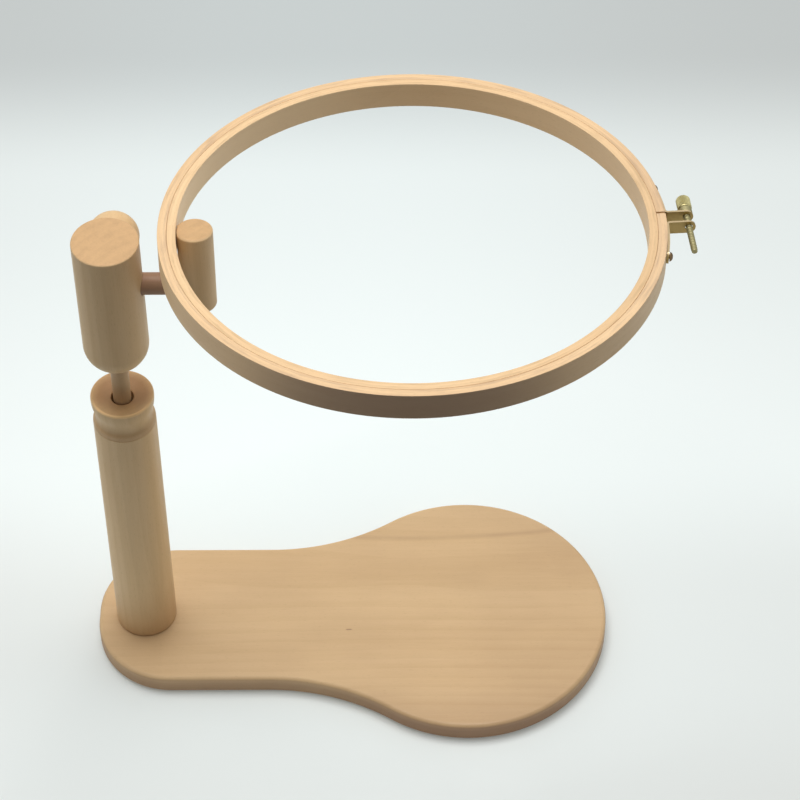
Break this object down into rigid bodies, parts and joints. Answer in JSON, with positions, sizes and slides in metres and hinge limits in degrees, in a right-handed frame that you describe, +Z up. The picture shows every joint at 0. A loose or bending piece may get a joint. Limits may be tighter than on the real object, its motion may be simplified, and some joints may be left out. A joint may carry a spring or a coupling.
{
  "type": "embroidery hoop stand",
  "caption": "Wooden embroidery hoop stand: paddle base, turned post, sliding stem, clamp head with a ball knob, tilting arm and a round hoop with a brass tension screw.",
  "frame": {"origin": "middle of the base board's length and width, on its underside", "axes": "+X along the base from the post to the round end, +Y to the back where the knob is, +Z up"},
  "size_m": [0.3356, 0.2638, 0.3556],
  "materials": {
    "beech": "sanded, lightly sealed",
    "ring_beech": "laminated, sanded",
    "dark_dowel": "sanded",
    "brass": "satin",
    "dark_brass": "tarnished",
    "steel": "plain"
  },
  "bodies": {
    "stand": {"base_board": "beech", "post": "beech", "post_screw": "steel"},
    "stem": {"stem_dowel": "beech"},
    "head": {"clamp_barrel": "beech", "threaded_insert": "brass"},
    "stud": {"clamp_stud": "steel"},
    "knob": {"clamp_knob": "beech"},
    "arm": {"arm_rod": "dark_dowel", "hoop_block": "beech", "inner_ring": "ring_beech", "ring_screw": "steel"},
    "outer_hoop": {"outer_ring": "ring_beech", "far_strap": "brass", "near_strap": "brass", "far_rivet": "dark_brass", "near_rivet": "dark_brass"},
    "screw": {"tension_screw": "brass", "screw_head": "brass"}
  },
  "joints": [
    {"name": "height", "type": "slide", "parent": "stand", "child": "stem", "axis": [0, 0, 1], "range_m": [-0.026, 0.04]},
    {"name": "swivel", "type": "hinge", "parent": "stem", "child": "head", "pos_m": [-0.1235, 0, 0.26], "axis": [0, 0, 1], "continuous": true},
    {"name": "clamp_travel", "type": "slide", "parent": "head", "child": "stud", "axis": [0, 1, 0], "range_m": [0, 0.0025]},
    {"name": "clamp_turn", "type": "hinge", "parent": "stud", "child": "knob", "pos_m": [-0.1235, 0, 0.3015], "axis": [0, 1, 0], "range_deg": [0, 722]},
    {"name": "tilt", "type": "hinge", "parent": "head", "child": "arm", "pos_m": [-0.1235, 0, 0.3015], "axis": [1, 0, 0], "continuous": true},
    {"name": "ring_lift", "type": "slide", "parent": "arm", "child": "outer_hoop", "axis": [0, 0.1144, 0.9934], "range_m": [0, 0.05]},
    {"name": "screw_turn", "type": "hinge", "parent": "outer_hoop", "child": "screw", "pos_m": [0.17963, 0.01388, 0.33252], "axis": [-0.0711, 0.9909, -0.1141], "continuous": true}
  ],
  "couplings": [
    {"joint": "clamp_turn", "follows": "clamp_travel", "rad_per_m": 5026.5}
  ]
}
